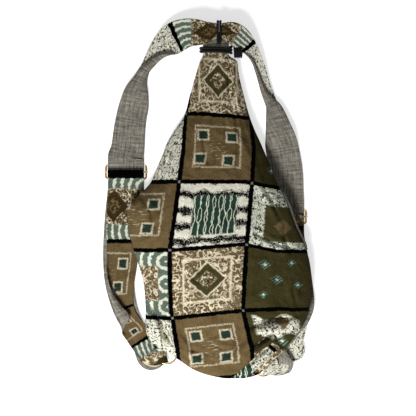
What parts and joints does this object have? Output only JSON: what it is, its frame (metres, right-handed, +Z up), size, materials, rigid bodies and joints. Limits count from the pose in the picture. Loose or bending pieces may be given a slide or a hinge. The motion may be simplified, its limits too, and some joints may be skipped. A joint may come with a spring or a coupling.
{
  "type": "backpack",
  "caption": "Soft cotton backpack laid on its back: a teardrop pouch tied at its neck with black cord, with adjustable straps on wire slides and rings.",
  "frame": {"origin": "a point on the flat underside of the back panel, near the middle of the pouch, on the floor that the bag lies on", "axes": "+Y towards the tied neck, +Z up from the floor through the front panel, +X to the right as seen from above"},
  "size_m": [0.3476, 0.5878, 0.0639],
  "materials": {
    "printed_cotton": "plain-woven cotton printed in a patchwork grid",
    "chambray": "slubby grey chambray",
    "brass_wire": "thin bright gold-coloured wire",
    "black_cord": "round black cord with a slight sheen"
  },
  "bodies": {
    "bag": {"front_panel": "printed_cotton", "back_panel": "printed_cotton", "left_strap_print": "printed_cotton", "right_strap_print": "printed_cotton", "left_ring_tab": "printed_cotton", "right_ring_tab": "printed_cotton", "front_lining": "chambray", "back_lining": "chambray", "mouth_hem": "chambray", "edge_binding": "chambray", "left_strap_lining": "chambray", "right_strap_lining": "chambray", "neck_cord": "black_cord", "cord_knot": "black_cord", "strap_lashing": "black_cord"},
    "left_slide": {"left_slider": "brass_wire", "left_strap_end": "printed_cotton"},
    "right_slide": {"right_slider": "brass_wire", "right_strap_end": "printed_cotton"},
    "left_loop": {"left_ring": "brass_wire"},
    "right_loop": {"right_ring": "brass_wire"}
  },
  "joints": [
    {"name": "left_slider_travel", "type": "slide", "parent": "bag", "child": "left_slide", "axis": [0, 1, 0], "range_m": [-0.008, 0.008]},
    {"name": "right_slider_travel", "type": "slide", "parent": "bag", "child": "right_slide", "axis": [0, 1, 0], "range_m": [-0.008, 0.008]},
    {"name": "left_ring_turn", "type": "hinge", "parent": "bag", "child": "left_loop", "pos_m": [-0.072, -0.259, 0.0034], "axis": [0, 0, 1], "continuous": true},
    {"name": "right_ring_turn", "type": "hinge", "parent": "bag", "child": "right_loop", "pos_m": [0.087, -0.279, 0.0034], "axis": [0, 0, 1], "continuous": true}
  ]
}
